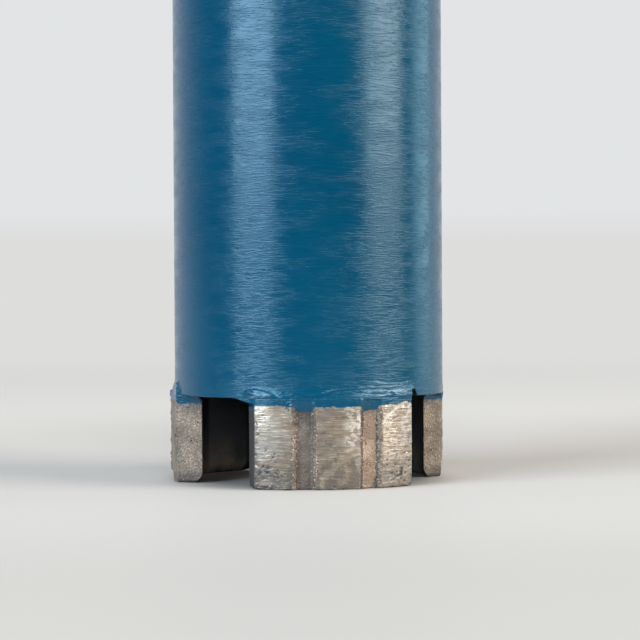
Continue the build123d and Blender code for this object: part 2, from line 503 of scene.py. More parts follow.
def bore_material():
    """The barrel's inside: dark, slightly rusty steel, oversprayed as a mask says, and painted near
    black as painted shade in the notch.
    """
    material, tree, surface, place = new_material("bore_steel")
    marks = use_group(tree, LATHE_MARKS, Position=place, Width=0.5, Length=3.0)
    rust = cloud(tree, place, 220.0, 5.0)
    colour = layered(tree, MILL_DARK, (marks["Patches"], MILL_LIGHT),
                     (ramp(tree, rust, 0.5, 0.75, 0.0, 0.7), RUST),
                     (mask_of(tree, "overspray"), PAINT), (mask_of(tree, "notch_shade"), NOTCH_SHADE))
    dress(tree, surface, {"Base Color": colour, "Roughness": 0.55, "Metallic": 0.6}, rust, 0.5)
    return material


# --- Sintered metal ---

GROUND_GREY, GROUND_STRAW = rgb(0.26, 0.222, 0.19), rgb(0.262, 0.203, 0.148)
GROUND_LIGHT = rgb(0.36, 0.312, 0.26)
# Pale patches, part polish and part painted highlight
GROUND_PALE_HIGHLIGHT = rgb(0.62, 0.563, 0.503)
GROUND_DULL = rgb(0.125, 0.113, 0.108)
DARK_MARK, BRIGHT_MARK = rgb(0.08, 0.067, 0.058), rgb(0.74, 0.67, 0.59)
# Grey to straw is the sinter's tone; the lighter straw on each outer face's right half is painted
# light
GREY_DARK, GREY_LIGHT = rgb(0.1, 0.081, 0.073), rgb(0.17, 0.138, 0.122)
STRAW_DARK, STRAW_LIGHT = rgb(0.28, 0.205, 0.15), rgb(0.55, 0.417, 0.313)
GAP = rgb(0.1, 0.077, 0.063)
PORE = rgb(0.03, 0.027, 0.025)
# Painted glints on a few facets
PAINTED_GLINT = rgb(0.66, 0.57, 0.48)
CHIP_DARK, CHIP_LIGHT = rgb(0.032, 0.034, 0.037), rgb(0.2, 0.19, 0.18)
# Dark of the stains and of the painted shade on the segments
STAIN_AND_SHADE = rgb(0.026, 0.029, 0.032)
# The inner face's near-black base and its blackest tone are painted shade; the brown is drilling
# dust
CORE_SHADED_BLACK, CORE_DUST = rgb(0.0135, 0.019, 0.028), rgb(0.098, 0.076, 0.062)
CORE_PORE, CORE_SHADE = rgb(0.003, 0.003, 0.003), rgb(0.004, 0.004, 0.004)
GRIT_GREY, GRIT_STRAW = rgb(0.11, 0.094, 0.082), rgb(0.42, 0.345, 0.27)


def ground_metal(tree, place):
    """Colour, roughness and height of a ground land: straw and grey under dark and bright
    scratches, stronger and with pale patches, part polish and part painted highlight, where their
    mask is 1, and dull areas that are more frequent near the cutting edge."""
    marks = use_group(tree, LATHE_MARKS, Position=place, Width=0.2, Length=1.8)
    broad = use_group(tree, LATHE_MARKS, Position=place, Width=0.6, Length=2.4)
    smear = cloud(tree, place, 700.0, 5.0, Roughness=0.68)
    polish_and_highlight = mask_of(tree, "polish_and_highlight")
    dull = maths(tree, "ADD", smear, ramp(tree, part_of(tree, place, "Z"), 0.0, 0.009, 0.12, 0.0))
    colour = layered(
        tree, GROUND_GREY,
        (ramp(tree, cloud(tree, place, 230.0, 4.0), 0.36, 0.6), GROUND_STRAW),
        (ramp(tree, broad["Height"], 0.42, 0.66, 0.0, 0.6), GROUND_LIGHT),
        # pale patches of polish and painted highlight
        (times(tree, polish_and_highlight, ramp(tree, smear, 0.42, 0.56)), GROUND_PALE_HIGHLIGHT),
        (times(tree, ramp(tree, marks["Height"], 0.48, 0.34),
               ramp(tree, polish_and_highlight, 0.0, 1.0, 0.35, 0.6)), DARK_MARK),
        (times(tree, ramp(tree, marks["Height"], 0.55, 0.68),
               ramp(tree, polish_and_highlight, 0.0, 1.0, 0.4, 0.8)), BRIGHT_MARK),
        (ramp(tree, dull, 0.56, 0.66, 0.0, 0.7), GROUND_DULL))
    roughness = ramp(tree, broad["Patches"], 0.3, 0.7, 0.28, 0.5)
    height = maths(tree, "ADD", times(tree, marks["Height"], 0.55), times(tree, smear, 0.5))
    return colour, roughness, height


def sandy_metal(tree, sand):
    """Colour of rough sinter: grey-brown to straw, and lighter, by a mask of warm tone and painted
    light, with dark gaps between grains and painted glints as strong as their own mask says, and a
    few pores."""
    warm_tone_and_light, grain_gaps_and_glint = mask_of(tree, "warm_tone_and_light"), mask_of(tree, "grain_gaps_and_glint")
    dark = blend(tree, warm_tone_and_light, GREY_DARK, STRAW_DARK)
    light = blend(tree, warm_tone_and_light, GREY_LIGHT, STRAW_LIGHT)
    gaps = times(tree, ramp(tree, sand["Height"], 1.05, 0.7),
                 ramp(tree, grain_gaps_and_glint, 0.0, 1.0, 0.25, 0.72))
    return layered(tree, dark, (ramp(tree, sand["Mottle"], 0.35, 0.68), light), (gaps, GAP),
                   (times(tree, sand["Pores"], 0.75), PORE),
                   (times(tree, sand["Glint"], grain_gaps_and_glint), PAINTED_GLINT))


def segment_material():
    """Sintered diamond metal: rough, but bright where it is ground and not broken, under stains and
    painted shade and a thin film of paint, by their masks."""
    material, tree, surface, place = new_material("sintered_segment")
    ground, broken = mask_of(tree, "ground"), mask_of(tree, "broken")
    stain_and_shade, film = mask_of(tree, "stain_and_shade"), mask_of(tree, "film")
    sand = use_group(tree, SINTERED_GRAIN, Position=place, Size=0.3)
    chipped = blend(tree, ramp(tree, sand["Height"], 0.6, 1.2), CHIP_DARK, CHIP_LIGHT)
    bright, bright_roughness, bright_height = ground_metal(tree, place)
    shine = times(tree, ground, maths(tree, "SUBTRACT", 1.0, broken))
    # Stains and painted shade lie over the sinter, then the paint's thin film
    colour = layered(tree, sandy_metal(tree, sand), (times(tree, broken, ground), chipped),
                     (shine, bright), (stain_and_shade, STAIN_AND_SHADE), (film, PAINT_WORN))
    uncovered = maths(tree, "SUBTRACT", 1.0, maths(tree, "MAXIMUM", stain_and_shade, film))
    height = blend_value(tree, shine, times(tree, sand["Height"], 0.9), bright_height)
    dress(tree, surface, {
        "Base Color": colour,
        "Roughness": blend_value(tree, shine, 0.6, bright_roughness),
        "Metallic": times(tree, blend_value(tree, shine, 0.25, 0.56), uncovered),
    }, height, 0.9)
    return material


def core_side_material():
    """The segment's inner face: painted near black as painted shade, with small pits, brown with
    drilling dust near the cutting edge, and blackest, with more painted shade, where the shade mask
    is 1."""
    material, tree, surface, place = new_material("core_side")
    sand = use_group(tree, SINTERED_GRAIN, Position=place, Size=0.4)
    dust = times(tree, ramp(tree, part_of(tree, place, "Z"), 0.008, 0.0),
                 ramp(tree, sand["Mottle"], 0.3, 0.6))
    colour = layered(tree, CORE_SHADED_BLACK, (dust, CORE_DUST),
                     (times(tree, sand["Pores"], 0.8), CORE_PORE),
                     (mask_of(tree, "shade"), CORE_SHADE))
    dress(tree, surface, {"Base Color": colour, "Roughness": 0.6, "Specular IOR Level": 0.22},
          sand["Height"], 0.6)
    return material


def grit_material():
    """Diamond grains: glossy, from grey to straw by a fine noise."""
    material, tree, surface, place = new_material("diamond_grit")
    tone = ramp(tree, cloud(tree, place, 1400.0, 1.0), 0.4, 0.68)
    dress(tree, surface, {"Base Color": blend(tree, tone, GRIT_GREY, GRIT_STRAW), "Roughness": 0.38,
                          "Specular IOR Level": 0.6})
    return material


# --- Shape of a segment ---

OUTER, END, INNER, CAP = range(4)  # the parts of its surface


def flute_profile(away, half_floor):
    """Depth of a flute at a distance from its centre: full over its floor, then falling by the
    distance over the flanks' slope."""
    return np.clip((half_floor + FLUTE_DEPTH * FLANK - away) / FLANK, 0.0, FLUTE_DEPTH)


def from_flute(angle):
    """Distance along the outer face from the nearer flute's centre: the angle between them
    times the cutting radius."""
    return np.abs(np.abs(angle) - FLUTE_ANGLE) * CUT_RADIUS


def flute_fill(height):
    """Share of a flute's depth that weld and paint leave open near its upper end."""
    return 1.0 - 0.72 * step(height, SEGMENT_TOP - 2.6, SEGMENT_TOP - 0.3)


def segment_rows():
    """Heights of a segment's rows, and how far each is drawn in by the rounded rims: a quarter
    circle at the foot, even rows, and a small quarter circle at the top."""
    turn = np.linspace(0, math.pi / 2, 7)
    foot_height = RIM_ROUNDING * (1 - np.cos(turn))
    foot_inset = RIM_ROUNDING * (1 - np.sin(turn))
    count = int((SEGMENT_TOP - 2 * RIM_ROUNDING) / ROW_SPACING)
    middle = np.linspace(RIM_ROUNDING, SEGMENT_TOP - TOP_ROUNDING, count + 2)[1:-1]
    top_height = SEGMENT_TOP - TOP_ROUNDING * (1 - np.sin(turn[::3]))
    top_inset = TOP_ROUNDING * (1 - np.cos(turn[::3]))
    return (np.concatenate([foot_height, middle, top_height]),
            np.concatenate([foot_inset, np.zeros(count), top_inset]))


def quarter(height, radius):
    """How far a quarter-circle edge of a radius is drawn in at a height above its foot: the
    radius less the root of its square less the square of what is left to its top."""
    below = np.clip(radius - height, 0.0, radius)
    return radius - np.sqrt(radius * radius - below * below)


def segment_surface():
    """Points of a smooth segment, as (rows, loop, 3) in its own axes: across, outwards and up. The
    loop runs along the outer arc, down one end, back along the inner arc and up the other end.
    Averaging neighbours twice, with weights 1, 2 and 1, rounds its corners."""
    height, inset = segment_rows()
    outer = CUT_RADIUS - TAPER * np.clip(1 - height / TAPER_HEIGHT, 0, 1) - inset
    inner = INNER_RADIUS + quarter(height, CORE_SIDE_ROUNDING) + inset
    broken_back = np.clip((height - SEGMENT_TOP + CORE_BREAK_HEIGHT) / CORE_BREAK_HEIGHT, 0, 1)
    inner = inner + CORE_BREAK * broken_back
    half = HALF_WIDTH - quarter(height, CORNER_ROUNDING) - inset
    outer, inner, half = outer[:, None], inner[:, None], half[:, None]

    sweep = np.linspace(-1, 1, ARC_POINTS)[None, :]
    outer_angle = sweep * np.arcsin(half / outer)
    outer_depth = flute_profile(from_flute(outer_angle), FLUTE_HALF_FLOOR)
    outer_line = outer - outer_depth * flute_fill(height)[:, None]
    inner_angle = -sweep * np.arcsin(half / inner)
    inner_line = inner + flute_profile(np.abs(inner_angle) * INNER_RADIUS, INNER_FLUTE_HALF_FLOOR)
    across_end = np.linspace(0, 1, END_POINTS)[None, 1:-1]
    outer_corner = np.sqrt(outer ** 2 - half ** 2)
    inner_corner = np.sqrt(inner ** 2 - half ** 2)
    down = outer_corner + (inner_corner - outer_corner) * across_end

    side = np.broadcast_to(half, down.shape)
    across = np.concatenate([outer_line * np.sin(outer_angle), side,
                             inner_line * np.sin(inner_angle), -side], axis=1)
    outwards = np.concatenate([outer_line * np.cos(outer_angle), down,
                               inner_line * np.cos(inner_angle), down[:, ::-1]], axis=1)
    up = np.broadcast_to(height[:, None], across.shape)
    loop = np.stack([across, outwards, up], axis=-1)
    for _ in range(2):
        loop = (np.roll(loop, 1, axis=1) + 2 * loop + np.roll(loop, -1, axis=1)) / 4
    return loop


def cap_grid(loop, flip):
    """Inner points and quads that close a loop: each outer point is joined to the inner point
    across from it by a straight row, and the rows share the loop's own points at their ends.
    The inner points' numbers are negative, from -1 down."""
    count, depth = ARC_POINTS, END_POINTS
    share = np.linspace(0, 1, depth)[None, 1:-1, None]
    outer, inner = loop[:count], loop[count + depth - 2:2 * count + depth - 2][::-1]
    points = outer[1:-1, None] * (1 - share) + inner[1:-1, None] * share
    number = np.empty((count, depth), np.int64)
    number[:, 0] = np.arange(count)
    number[:, -1] = count + depth - 2 + np.arange(count)[::-1]
    number[-1, 1:-1] = count + np.arange(depth - 2)
    number[0, 1:-1] = 2 * count + depth - 2 + np.arange(depth - 2)[::-1]
    number[1:-1, 1:-1] = -1 - np.arange((count - 2) * (depth - 2)).reshape(count - 2, depth - 2)
    quads = np.stack([number[:-1, :-1], number[1:, :-1], number[1:, 1:], number[:-1, 1:]], axis=-1)
    quads = quads.reshape(-1, 4)
    return points.reshape(-1, 3), quads[:, ::-1] if flip else quads


def closed_segment():
    """The whole surface: walls, then the foot's and the top's caps. Returns the points, the
    quads, and the part of the surface that each point lies on."""
    loop = segment_surface()
    rows, columns = loop.shape[:2]
    foot, foot_quads = cap_grid(loop[0], flip=True)
    top, top_quads = cap_grid(loop[-1], flip=False)
    walls = loop.reshape(-1, 3)
    foot_start, top_start = len(walls), len(walls) + len(foot)
    foot_quads = np.where(foot_quads < 0, foot_start - 1 - foot_quads, foot_quads)
    top_quads = np.where(top_quads < 0, top_start - 1 - top_quads, top_quads + (rows - 1) * columns)
    across_end = END_POINTS - 2
    where = np.repeat([OUTER, END, INNER, END], [ARC_POINTS, across_end, ARC_POINTS, across_end])
    where = np.concatenate([np.tile(where, rows), np.full(len(foot) + len(top), CAP)])
    faces = np.concatenate([grid_faces(rows, columns), foot_quads, top_quads])
    return np.concatenate([walls, foot, top]), faces, where


# --- Segments ---

BOX_INSET = 0.04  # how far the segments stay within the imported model's sides
PAINT_EDGE = 11.45  # height of the paint's lower edge on the lands
END_PAINT_EDGE = 11.5
ROUGH_LAND = (0.3, 0.36)  # angles between which the third segment's ground skin ends


def paint_edge(points, where, angle, seed):
    """Height of the paint's lower edge: lowest in the flutes, where it was not wiped, and
    ragged everywhere."""
    ragged = 0.17 * rough(points * (1, 1, 0.4), 1.7, seed + 40)
    ragged = ragged + 0.05 * noise(points, 0.3, seed + 44)
    ragged = ragged + 0.3 * step(noise(points * (1, 1, 0.2), 0.9, seed + 47), 0.45, 0.75)
    depth = flute_profile(from_flute(angle), FLUTE_HALF_FLOOR)
    edge = PAINT_EDGE - 0.7 * step(depth, 0.25, 0.75) + 0.35 * np.abs(angle) / HALF_ANGLE
    edge = np.where(where == END, END_PAINT_EDGE, edge)
    edge = np.where(where == INNER, SEGMENT_TOP - 0.5, edge)
    return edge + ragged


def stand_out(number, angle):
    """How far a segment's outer face stands out of the cutting circle at an angle from its
    middle: the third was set a little proud at one end."""
    return (-0.05, 0.06, 0.21 * step(angle, -0.1, 0.25))[number - 1]


def segment_regions(number, points, where):
    """Where each point lies: its height, its angle from the middle, how far it is past the nearer
    flute's floor and flank and from the nearer end, and shares from 0 to 1 of each region. Noise
    makes the borders wander."""
    seed = 100 * number
    height = points[:, 2]
    angle = np.arctan2(points[:, 0], points[:, 1])
    angle = angle + 0.011 * rough(points, (0.9, 0.9, 0.6), seed + 3)
    away = from_flute(angle)
    inland = away - FLUTE_HALF_FLOOR - FLUTE_DEPTH * FLANK
    outer_face = np.where(where == OUTER, 1.0, 0.0)
    ground = outer_face * step(inland + 0.16 * rough(points, 0.4, seed + 5), 0.0, 0.12)
    past_floor = away - FLUTE_HALF_FLOOR
    flank = outer_face * step(inland, 0.12, -0.05) * step(past_floor, -0.1, 0.1)
    from_end = HALF_WIDTH - np.abs(points[:, 0])
    edge = paint_edge(points, where, angle, seed)
    return SimpleNamespace(
        height=height, angle=angle, past_floor=past_floor, inland=inland, flank=flank,
        ground=ground * (1 - 0.85 * (number == 3) * step(angle, *ROUGH_LAND)),
        right_half=step(angle, -0.05, 0.05), toward_end=np.abs(angle) / HALF_ANGLE,
        ends=np.where(where == END, 1.0, 0.0), from_end=from_end, outer_face=outer_face,
        near_edge=step(from_end, 0.5, 0.0) * outer_face + step(height, 0.5, 0.0),
        edge=edge, painted=step(height - edge, -0.05, 0.05))


def polish_and_highlight_mask(at):
    """Polish and painted highlight: brightest on the outer land at the left near its top, on the
    right-hand land, on the middle land's right half, and in a line under the paint."""
    polish_and_highlight = (1 - at.right_half) * step(at.toward_end, 0.7, 0.9) * step(at.height, 7.5, 11.2)
    right_land = 0.34 + 0.42 * step(at.height, 4.0, 11.0)
    polish_and_highlight = polish_and_highlight + at.right_half * step(at.toward_end, 0.5, 0.58) * right_land
    middle_land = window(at.toward_end, 0.0, 0.14, 0.3, 0.34) * step(at.height, 3.5, 7.5)
    polish_and_highlight = polish_and_highlight + at.right_half * middle_land
    return np.clip(polish_and_highlight + 0.25 * at.ground * step(at.height, 10.9, 11.3), 0, 1)


def stain_and_shade_mask(number, points, at):
    """The darkest of the stains and painted shade at each point. Painted shade: on the first
    segment's left end and, lighter, on the second's ends, in the crevices at the flanks' feet and
    under the left flute's top. Darker: the flanks of the right half, most of all the one that faces
    away, and the ends towards their feet. Dull stretches of land are stains."""
    crevice_shade = window(at.past_floor, -0.02, 0.08, 0.14, 0.3)
    rough_land = at.outer_face * (number == 3) * step(at.angle, *ROUGH_LAND)
    left_foot = at.ground * step(at.angle, -0.3, -0.34) * step(at.height, 10.0, 5.5)
    flute_top_shade = (1 - at.right_half) * step(at.height, 7.0, 11.0) * step(at.inland, 0.0, -0.2)
    return np.maximum.reduce([
        # painted shade on ends, crevices and the left flute's top; darker flanks and feet; dull land
        0.97 * at.ends * (points[:, 0] < 0) * (number == 1),
        0.13 * at.ends * (number == 2),
        0.75 * at.flank * at.right_half * (np.abs(at.angle) < FLUTE_ANGLE),
        0.45 * rough_land + 0.2 * left_foot,
        0.13 * at.flank * at.right_half,
        (0.5 + 0.25 * at.right_half) * at.outer_face * crevice_shade,
        0.55 * at.ends * step(at.height, 2.3, 0.9),
        0.3 * at.outer_face * flute_top_shade,
    ])


def segment_masks(number, points, at):
    """The numbers that the segment's materials read, each from 0 to 1."""
    seed = 100 * number
    pitting = rough(points, (0.6, 0.6, 0.4), seed + 11, 4) + 0.5 * rough(points, 2.3, seed + 7)
    pitting = pitting + 0.36 * step(at.height, 7.5, 0.5) - 0.3 * step(at.toward_end, 0.34, 0.28)
    thin_paint = step(rough(points, 0.6, seed + 49), -0.4, 0.5)
    thin_paint = thin_paint * step(at.height - at.edge, -1.3, 0.0)
    # Each outer face's right half is painted lighter and warmer: painted light from the right
    outer_warm_light = at.outer_face * (0.1 + 0.82 * at.right_half) * (1 - 0.4 * at.flank)
    # Painted shade for the inner face, near its ends and towards its top
    shade = step(at.from_end, 1.6, 0.9) + step(at.height, 8.0, 12.0)
    return {
        "ground": at.ground,
        "polish_and_highlight": polish_and_highlight_mask(at),
        "broken": at.ground * step(pitting, 0.5, 0.8),
        "warm_tone_and_light": 0.6 * at.ends + outer_warm_light + 0.5 * at.flank,
        # How strong the dark gaps between grains and the painted glints are
        "grain_gaps_and_glint": np.clip(0.45 * at.ends + at.flank + 0.12, 0, 1),
        "stain_and_shade": stain_and_shade_mask(number, points, at),
        "film": 0.6 * thin_paint * (0.25 + 0.75 * at.ends),
        "shade": np.clip(shade, 0, 1),
    }


def segment_relief(number, points, where, at, broken):
    """How far each point moves along its normal: waves, grain, grinding marks, chips and bitten
    edges, the third segment's knobs, and the paint's own thickness, which hides the grain."""
    seed = 100 * number
    edge_bites = at.near_edge * step(rough(points, 0.7, seed + 15, 3), 0.15, 0.5)
    lumps = step(rough(points, 0.6, seed + 57, 2), 0.25, 0.45)
    sandy = (1 - at.ground) * np.where(where == INNER, 0.45, 1.0)
    move = 0.03 * rough(points, 2.6, seed + 19) + stand_out(number, at.angle) * at.outer_face
    move += 0.03 * sandy * grains(points, 0.3, seed + 23)
    move += 0.03 * sandy * grains(points, 0.62, seed + 26)
    move += 0.09 * at.flank * grains(points, 0.55, seed + 33)
    move += at.ground * 0.012 * noise(points, (1.4, 1.4, 0.2), seed + 29)
    move -= 0.09 * broken
    move -= 0.12 * np.clip(edge_bites, 0, 1)
    move += 0.28 * at.outer_face * (number == 3) * step(at.toward_end, 0.46, 0.54) * lumps
    move *= 1 - 0.8 * at.painted * (1 - at.outer_face)
    move += 0.03 * at.painted
    move += 0.1 * at.painted * at.ends * rough(points, (1.3, 1.3, 0.6), seed + 53)
    move += 0.3 * at.ends * (number > 1) * step(at.height, SEGMENT_TOP - 1.5, SEGMENT_TOP)
    cap_share = np.where(at.height > SEGMENT_TOP / 2, 0.0, 0.6)
    return move * np.where(where == CAP, cap_share, 1.0)


def grain_chance(at, stain_and_shade):
    """How likely a diamond grain is at each point: on rough faces below the paint, most of all
    at the edges and on the flanks."""
    allowed = (1 - at.ground) * (at.ends + at.outer_face) * (at.height > 0.4)
    liking = 0.15 * at.outer_face + 0.7 * at.ends + 4 * at.near_edge + 3.5 * at.flank
    return allowed * (at.height < at.edge - 0.3) * liking * (stain_and_shade < 0.8)


def turned(points, number):
    """Points of a segment's own axes turned to its place about Z. As those axes are left-handed,
    this is also a mirror."""
    middle = SEGMENT_ANGLES[number - 1]
    return np.stack([points[:, 1] * math.cos(middle) - points[:, 0] * math.sin(middle),
                     points[:, 1] * math.sin(middle) + points[:, 0] * math.cos(middle),
                     points[:, 2]], axis=1)


def make_segment(number, materials):
    """One sintered segment. Painted faces take the second material, and the inner face the third.
    Returns the surface before its turn, its normals, and the chance of a grain at each point."""
    points, faces, where = closed_segment()
    normals = -point_normals(points, faces)  # the faces look inwards until the turn mirrors them
    at = segment_regions(number, points, where)
    masks = segment_masks(number, points, at)
    relief = segment_relief(number, points, where, at, masks["broken"])
    formed = points + normals * relief[:, None]
    formed[:, 2] = np.maximum(formed[:, 2], 0.0)
    coated = at.painted[faces].mean(axis=1) > 0.5
    core_side = (where[faces] == INNER).all(axis=1)
    face_material = np.where(coated, 1, np.where(core_side, 2, 0))
    piece = make_piece(f"sintered_segment_{number}", turned(formed, number), faces, materials,
                       masks, face_material, BOX_INSET)
    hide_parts(f"segment_{number}")
    return formed, normals, grain_chance(at, masks["stain_and_shade"])


def crystal():
    """The twelve points and twenty faces of a regular solid: three golden rectangles that
    cross at right angles."""
    golden = (1 + math.sqrt(5)) / 2
    signs = np.array([(a, b) for a in (-1, 1) for b in (-1, 1)], float)
    flat = np.concatenate([np.zeros((4, 1)), signs * (1, golden)], axis=1)
    points = np.concatenate([np.roll(flat, k, axis=1) for k in range(3)])
    points = points / np.linalg.norm(points[0])
    gap = np.linalg.norm(points[:, None] - points[None], axis=2)
    near = (gap > 0) & (gap < 1.1)
    faces = [(i, j, k) for i in range(12) for j in range(i + 1, 12) for k in range(j + 1, 12)
             if near[i, j] and near[j, k] and near[i, k]]
    faces = np.array(faces)
    a, b, c = (points[faces[:, n]] for n in range(3))
    inward = (np.cross(b - a, c - a) * a).sum(axis=1) < 0
    faces[inward] = faces[inward][:, ::-1]
    return points, faces


def make_grit(number, surface, material, count=220):
    """Diamond grains: crystals of many sizes, each squashed and turned its own way, half sunk in a
    segment's surface at places picked by the given chances."""
    points, normals, chance = surface
    random = np.random.default_rng(900 + number)
    picked = random.choice(len(points), count, replace=False, p=chance / chance.sum())
    size = 0.075 + 0.12 * random.random(count) ** 3
    shape, shape_faces = crystal()
    squash = 0.75 + 0.5 * random.random((count, 1, 3))
    spin, _ = np.linalg.qr(random.normal(size=(count, 3, 3)))
    spin = spin * np.sign(np.linalg.det(spin))[:, None, None]
    grain = np.einsum("nij,nkj->nki", spin, shape[None] * squash) * size[:, None, None]
    centre = points[picked] + normals[picked] * size[:, None] * 0.05
    placed = (grain + centre[:, None]).reshape(-1, 3)
    placed[:, 2] = np.maximum(placed[:, 2], 0.02)
    faces = (shape_faces[None] + len(shape) * np.arange(count)[:, None, None]).reshape(-1, 3)
    mirrored = faces[:, ::-1]  # as the turn mirrors them back
    piece = make_piece(f"diamond_grit_{number}", turned(placed, number), mirrored, [material])
    piece.data.shade_flat()


# --- Barrel with its painted welds ---

UNDER_ROWS = 6  # rows across the rim's underside


def from_middle(angle, middle):
    """Angle from a segment's middle, in degrees, between -180 and 180. It grows to the right as
    the segment is seen from outside."""
    return np.degrees((angle - middle + math.pi) % TURN - math.pi)


def notch_share(at):
    """1 within the notch beside the first segment, falling to 0 at its two sides."""
    return window(at - HALF_DEGREES, -0.1, 0.6, 3.4, 5.2)


def rim_height(angle):
    """Height of the barrel's painted lower rim: lower over each segment's outer face and in a web
    of weld metal at its left, and higher in the notch at the first segment's right."""
    rim = SEGMENT_TOP + 0.05 * rough(cylinder_points(BARREL_RADIUS, angle, 0.0), 2.0, 61)
    for number, middle in enumerate(SEGMENT_ANGLES, start=1):
        at = from_middle(angle, middle)
        over = step(np.abs(at) - HALF_DEGREES, 0.4, -0.6)
        web = window(at + HALF_DEGREES, -11.0, -1.5, -0.2, 1.0)
        rim = rim - 0.3 * over - 0.72 * web + 0.95 * (number == 1) * notch_share(at)
    return rim


def weld_relief(number, at, up, points):
    """How far one segment's weld stands out of the barrel, at angles from its middle and heights
    above the segment: the sum of a fillet, lumps, a lip over the left end and strokes beside it, a
    sloping ridge, a coarsely dressed stretch and a knob at the right end."""
    seed = 170 + 30 * number
    past_left, past_right = at + HALF_DEGREES, at - HALF_DEGREES  # the segment's two ends
    inside = step(np.abs(at) - HALF_DEGREES, 3.0, -1.0)
    reach = CUT_RADIUS + 0.01 + stand_out(number, np.radians(at)) - BARREL_RADIUS
    fillet = reach * inside * step(up, 1.9, -0.2) ** 1.3
    belt = window(up, -0.1, 0.5, 1.2, 2.6)
    lumpiness = 0.05 if number == 1 else 0.24
    lumps = lumpiness * inside * belt * rough(points, (1.3, 1.3, 0.8), seed, 3)

    lip_top = 1.3 - 0.011 * past_left ** 2 + 0.25 * rough(points, (1.3, 1.3, 0.8), seed + 21, 3)
    beads = 1 + 0.35 * rough(points, (0.9, 0.9, 0.5), seed + 17, 2)
    lip = window(past_left, -6.5, -2.0, 4.0, 13.0)
    lip = 0.24 * lip * beads * step(up, lip_top + 0.1, lip_top - 0.22) * belt
    along = np.radians(at) * BARREL_RADIUS
    slant = np.stack([0.87 * along - 0.5 * up, 0.5 * along + 0.87 * up, 0 * up], axis=-1)
    brushed = step(past_left, 1.0, 4.0) * step(at, -12.0, -15.0) * step(up, 0.9, 0.3)
    strokes = 0.05 * brushed * noise(slant, (2.6, 0.34, 1.0), seed + 19)

    ridge_top = 0.57 + 0.75 * (1 - np.exp(-np.clip(at + 7.4, 0, None) / 4.5))
    ridge = 0.13 * window(at, -8.0, -5.0, 9.0, 20.0) * np.exp(-((up - ridge_top) / 0.1) ** 2)
    dressed = step(at, 5.0, 12.0) * step(past_right, 1.5, -1.0)
    streaks = 0.11 * dressed * rough(points, (1.9, 1.9, 0.36), seed + 9, 3)
    streaks = streaks * window(up, 0.0, 0.4, 1.5, 2.9)
    crests = 1 - np.abs(noise(points, (2.4, 2.4, 0.55), seed + 23))
    crests = 0.13 * dressed * crests ** 4 * window(up, 0.0, 0.3, 1.5, 2.4)
    knob_height = 0.22 if number < 3 else 0.4
    knob = window(past_right, -9.0, -4.0, 0.5, 3.0)
    knob = knob_height * knob * np.exp(-((up - 0.5) / 0.75) ** 2)
    return fillet + lumps + lip + strokes + ridge + streaks + crests + knob


def barrel_relief(angle, height):
    """How far the painted skin stands out of the barrel: by the three welds, and over each flute
    it turns inwards, under an arch, to the flute's floor."""
    up = height - SEGMENT_TOP
    points = cylinder_points(BARREL_RADIUS, angle, height)
    total = np.zeros(height.shape)
    for number, middle in enumerate(SEGMENT_ANGLES, start=1):
        at = from_middle(angle, middle) * np.ones(height.shape)
        away = from_flute(np.radians(at))
        depth = flute_profile(away, FLUTE_HALF_FLOOR)
        arch_top = 0.24 - 0.8 * np.clip(away - 0.9, 0.0, 1.0) - 2.0 * (at > 0)
        floor = CUT_RADIUS - 0.03 - depth * flute_fill(height) - BARREL_RADIUS
        share = smooth(depth / 0.5) * step(up, arch_top, arch_top - 0.6)
        share = share * (np.abs(at) < HALF_DEGREES)
        total = total + weld_relief(number, at, up, points) * (1 - share) + floor * share
    return total


def scuff_and_highlight_mask(angle, level):
    """Where pale strokes cross the paint, part scuffs and part painted highlights: the first
    segment's dressed stretch and lip, and the ends of the other two."""
    at, up = from_middle(angle, SEGMENT_ANGLES[0]), level - SEGMENT_TOP
    dressed = step(at, 6.0, 14.0) * step(at - HALF_DEGREES, 3.0, -1.0)
    lip = window(at + HALF_DEGREES, -5.0, -2.0, 3.0, 9.0)
    scuff_and_highlight = dressed * window(up, 0.0, 0.4, 1.2, 2.3) + lip * window(up, -0.1, 0.2, 0.7, 1.0)
    for middle in SEGMENT_ANGLES[1:]:
        past_end = np.abs(from_middle(angle, middle)) - HALF_DEGREES
        end = window(past_end, -9.0, -3.0, 0.5, 3.5)
        scuff_and_highlight = scuff_and_highlight + 0.6 * end * window(up, -0.3, 0.2, 0.8, 1.8)
    return scuff_and_highlight


